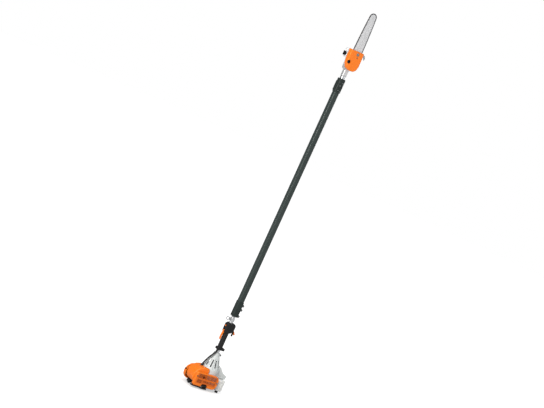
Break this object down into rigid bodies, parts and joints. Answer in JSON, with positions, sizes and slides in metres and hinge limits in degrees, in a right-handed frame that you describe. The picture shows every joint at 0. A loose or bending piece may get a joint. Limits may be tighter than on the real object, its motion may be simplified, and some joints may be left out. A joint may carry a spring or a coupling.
{
  "type": "telescoping pole saw",
  "caption": "Engine-driven pole saw with a telescoping dark pole, orange engine covers at the foot and a slim guide bar with chain at the tip.",
  "frame": {"origin": "centre of the rear hand grip on the drive-shaft axis", "axes": "+Z along the pole to the saw head, +X to the underside with trigger and fuel tank, -Y to the side that carries the guide bar"},
  "size_m": [0.269, 0.1685, 2.7009],
  "materials": {
    "orange_cover": "satin moulded orange polymer",
    "black_plastic": "fine-textured black polymer",
    "grey_polymer": "light grey moulded polymer",
    "cast_alloy": "die-cast, lightly blasted",
    "tube_dark": "dark green-grey coated profile",
    "tube_silver": "drawn and anodised",
    "clear_tank": "translucent milky polymer",
    "bar_steel": "ground flat steel",
    "chain_steel": "oiled dark steel",
    "steel": "turned steel",
    "zinc_screws": "black-zinc fasteners",
    "bush_polymer": "slide-bearing polymer",
    "rubber": "matt black rubber",
    "cable_sheath": "black cable sheath",
    "rope_fibre": "braided cord",
    "filter_felt": "pleated felt",
    "muffler_steel": "heat-tinted sheet steel"
  },
  "bodies": {
    "power_unit": {"fan_housing": "grey_polymer", "crankcase": "cast_alloy", "cylinder": "cast_alloy", "spark_plug": "steel", "spark_plug_boot": "rubber", "muffler": "muffler_steel", "muffler_cover": "orange_cover", "engine_shroud": "orange_cover", "air_filter_cover": "orange_cover", "carburettor": "cast_alloy", "air_filter": "filter_felt", "fuel_tank": "clear_tank", "starter_housing": "black_plastic", "rubber_feet": "rubber", "ignition_module": "black_plastic", "drive_tube": "tube_silver", "outer_tube": "tube_dark", "tube_bushes": "bush_polymer", "lower_clamp": "tube_dark", "upper_clamp": "black_plastic", "clamp_screws": "zinc_screws", "carrying_eyelet": "tube_silver", "housing_screws": "zinc_screws", "throttle_cable": "cable_sheath", "handle_shell_left": "black_plastic", "handle_shell_right": "black_plastic"},
    "crank": {"crankshaft": "steel", "flywheel": "cast_alloy", "clutch_shoes": "steel"},
    "lower_drive": {"clutch_drum": "steel", "lower_drive_shaft": "steel"},
    "boom": {"inner_tube": "tube_silver", "slide_bush": "bush_polymer", "gear_housing": "cast_alloy", "oil_tank": "clear_tank", "sprocket_cover": "orange_cover", "bar_nut": "steel", "bumper_spike": "steel", "head_screws": "zinc_screws", "head_bearings": "steel"},
    "upper_drive": {"upper_drive_shaft": "steel", "bevel_pinion": "steel"},
    "sprocket": {"sprocket_shaft": "steel", "bevel_gear": "steel", "chain_sprocket": "steel"},
    "bar": {"guide_bar": "bar_steel", "saw_chain": "chain_steel"},
    "tension_screw": {"tension_screw": "zinc_screws"},
    "throttle_trigger": {"throttle_trigger": "orange_cover"},
    "interlock_lever": {"interlock_lever": "orange_cover"},
    "stop_slider": {"stop_slider": "orange_cover"},
    "choke_lever": {"choke_lever": "black_plastic"},
    "primer_bulb": {"primer_bulb": "clear_tank"},
    "fuel_cap": {"fuel_cap": "black_plastic"},
    "oil_cap": {"oil_cap": "black_plastic"},
    "starter_grip": {"starter_grip": "black_plastic", "starter_rope": "rope_fibre"},
    "starter_pulley": {"starter_pulley": "black_plastic"},
    "clamp_knob": {"clamp_knob": "black_plastic"},
    "filter_knob": {"filter_knob": "black_plastic"}
  },
  "joints": [
    {"name": "telescope_slide", "type": "slide", "parent": "power_unit", "child": "boom", "axis": [0, 0, 1], "range_m": [0, 1.2]},
    {"name": "crank_spin", "type": "hinge", "parent": "power_unit", "child": "crank", "pos_m": [0, 0, -0.2], "axis": [0, 0, 1], "continuous": true},
    {"name": "lower_drive_spin", "type": "hinge", "parent": "power_unit", "child": "lower_drive", "pos_m": [0, 0, 0], "axis": [0, 0, 1], "continuous": true},
    {"name": "upper_drive_spin", "type": "hinge", "parent": "boom", "child": "upper_drive", "pos_m": [0, 0, 1.2], "axis": [0, 0, 1], "continuous": true},
    {"name": "sprocket_spin", "type": "hinge", "parent": "boom", "child": "sprocket", "pos_m": [0, 0, 1.995], "axis": [0, 1, 0], "continuous": true},
    {"name": "bar_tension", "type": "slide", "parent": "boom", "child": "bar", "axis": [0, 0, 1], "range_m": [-0.008, 0]},
    {"name": "tension_screw_turn", "type": "hinge", "parent": "boom", "child": "tension_screw", "pos_m": [-0.016, -0.0262, 2.05], "axis": [0, 0, 1], "range_deg": [-2890, 10]},
    {"name": "throttle_pull", "type": "hinge", "parent": "power_unit", "child": "throttle_trigger", "pos_m": [0.02, 0, 0.082], "axis": [0, 1, 0], "range_deg": [0, 18], "stiffness_Nm_per_rad": 0.6, "springref_deg": -5.73},
    {"name": "interlock_press", "type": "hinge", "parent": "power_unit", "child": "interlock_lever", "pos_m": [-0.022, 0, 0.062], "axis": [0, -1, 0], "range_deg": [0, 6], "stiffness_Nm_per_rad": 0.8, "springref_deg": -5.73},
    {"name": "stop_switch", "type": "slide", "parent": "power_unit", "child": "stop_slider", "axis": [0, 0, 1], "range_m": [0, 0.004], "stiffness_N_per_m": 300, "springref_m": -0.002},
    {"name": "choke_turn", "type": "hinge", "parent": "power_unit", "child": "choke_lever", "pos_m": [-0.096, 0.052, -0.271], "axis": [0, 1, 0], "range_deg": [0, 25]},
    {"name": "primer_push", "type": "slide", "parent": "power_unit", "child": "primer_bulb", "axis": [0, 0, 1], "range_m": [0, 0.004], "stiffness_N_per_m": 400, "springref_m": -0.002},
    {"name": "fuel_cap_turn", "type": "hinge", "parent": "power_unit", "child": "fuel_cap", "pos_m": [0.094, 0.07, -0.294], "axis": [0, 1, 0], "range_deg": [0, 540]},
    {"name": "oil_cap_turn", "type": "hinge", "parent": "boom", "child": "oil_cap", "pos_m": [-0.057, 0.01, 2.045], "axis": [1, 0, 0], "range_deg": [-90, 0]},
    {"name": "starter_pull", "type": "slide", "parent": "power_unit", "child": "starter_grip", "axis": [0, -1, 0], "range_m": [0, 0.6], "stiffness_N_per_m": 20, "springref_m": -0.1},
    {"name": "starter_pulley_turn", "type": "hinge", "parent": "power_unit", "child": "starter_pulley", "pos_m": [0, 0, -0.321], "axis": [0, 0, 1], "range_deg": [-5, 1020]},
    {"name": "clamp_knob_turn", "type": "hinge", "parent": "power_unit", "child": "clamp_knob", "pos_m": [0, 0.03, 1.832], "axis": [0, 1, 0], "range_deg": [0, 360]},
    {"name": "filter_knob_turn", "type": "hinge", "parent": "power_unit", "child": "filter_knob", "pos_m": [-0.084, 0.08, -0.28], "axis": [0, 1, 0], "range_deg": [0, 720]}
  ],
  "couplings": [
    {"joint": "lower_drive_spin", "follows": "crank_spin", "ratio": 1},
    {"joint": "upper_drive_spin", "follows": "crank_spin", "ratio": 1},
    {"joint": "sprocket_spin", "follows": "crank_spin", "ratio": 0.66667},
    {"joint": "tension_screw_turn", "follows": "bar_tension", "rad_per_m": 6283.2},
    {"joint": "starter_pulley_turn", "follows": "starter_pull", "rad_per_m": 29.412}
  ]
}
